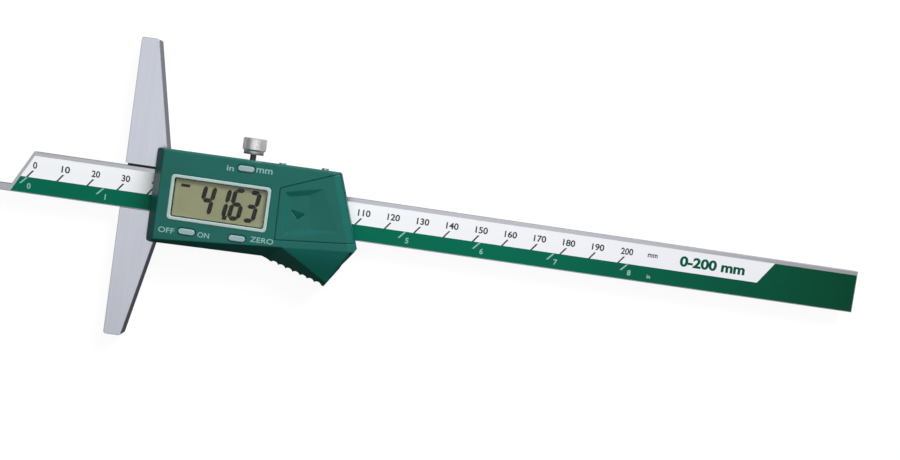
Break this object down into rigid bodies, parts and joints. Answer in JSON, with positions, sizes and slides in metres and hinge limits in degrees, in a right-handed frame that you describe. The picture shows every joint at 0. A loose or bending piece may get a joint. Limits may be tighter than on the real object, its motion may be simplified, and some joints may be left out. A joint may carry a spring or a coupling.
{
  "type": "digital depth caliper",
  "caption": "Digital depth caliper: a steel beam with a printed scale slides through a T-shaped base that carries a green display unit and a knurled lock screw.",
  "frame": {"origin": "under the middle of the beam, on its centreline, on the plane that the instrument's back rests on", "axes": "+X along the beam, away from the measuring tip; +Y across it, towards the lock screw; +Z the way the display faces"},
  "size_m": [0.2924, 0.1, 0.0157],
  "materials": {
    "base_steel": "satin ground",
    "beam_steel": "satin ground",
    "scale_print": "semi-matt printed film",
    "scale_green": "semi-matt printed film",
    "scale_ink": "printed ink",
    "legend_white": "printed ink",
    "strip_laminate": "glass-fibre laminate",
    "gib_brass": "milled",
    "screw_steel": "plated",
    "lock_steel": "nickel plated, knurled",
    "case_green": "fine moulded texture",
    "bezel_silver": "satin silver",
    "window_clear": "polished",
    "lcd_face": "reflective display",
    "lcd_segments": "dark display segments",
    "holder_black": "moulded",
    "zebra_rubber": "matt",
    "board_green": "solder mask",
    "chip_black": "epoxy",
    "contact_nickel": "nickel plated spring steel",
    "battery_steel": "nickel plated",
    "button_grey": "satin moulded"
  },
  "bodies": {
    "slider": {"base_slider": "base_steel", "gib_strip": "gib_brass", "gib_screws": "screw_steel", "case_front": "case_green", "battery": "battery_steel", "battery_contact_negative": "contact_nickel", "battery_contact_positive": "contact_nickel", "lcd_bezel": "bezel_silver", "lcd_window": "window_clear", "lcd_panel": "lcd_face", "lcd_holder": "holder_black", "zebra_connectors": "zebra_rubber", "main_board": "board_green", "controller_chip": "chip_black", "key_domes": "contact_nickel", "board_screws": "screw_steel", "case_screws": "screw_steel"},
    "beam": {"beam": "beam_steel", "scale_strip": "strip_laminate", "scale_label": "scale_print", "end_stop": "beam_steel", "end_stop_screws": "screw_steel"},
    "lock_screw": {"lock_screw": "lock_steel"},
    "battery_cover": {"battery_cover": "case_green"},
    "button_off_on": {"button_off_on": "button_grey"},
    "button_zero": {"button_zero": "button_grey"},
    "button_unit": {"button_unit": "button_grey"}
  },
  "joints": [
    {"name": "beam_slide", "type": "slide", "parent": "slider", "child": "beam", "axis": [-1, 0, 0], "range_m": [-0.04163, 0.15837]},
    {"name": "lock_screw_turn", "type": "hinge", "parent": "slider", "child": "lock_screw", "pos_m": [-0.06317, 0.0192, 0.00485], "axis": [0, 1, 0], "range_deg": [-90, 360]},
    {"name": "battery_cover_slide", "type": "slide", "parent": "slider", "child": "battery_cover", "axis": [0.9962, 0.0874, 0], "range_m": [0, 0.028]},
    {"name": "button_off_on_press", "type": "slide", "parent": "slider", "child": "button_off_on", "axis": [0, 0, -1], "range_m": [0, 0.0004], "stiffness_N_per_m": 2500, "springref_m": -0.0002},
    {"name": "button_zero_press", "type": "slide", "parent": "slider", "child": "button_zero", "axis": [0, 0, -1], "range_m": [0, 0.0004], "stiffness_N_per_m": 2500, "springref_m": -0.0002},
    {"name": "button_unit_press", "type": "slide", "parent": "slider", "child": "button_unit", "axis": [0, 0, -1], "range_m": [0, 0.0004], "stiffness_N_per_m": 2500, "springref_m": -0.0002}
  ]
}
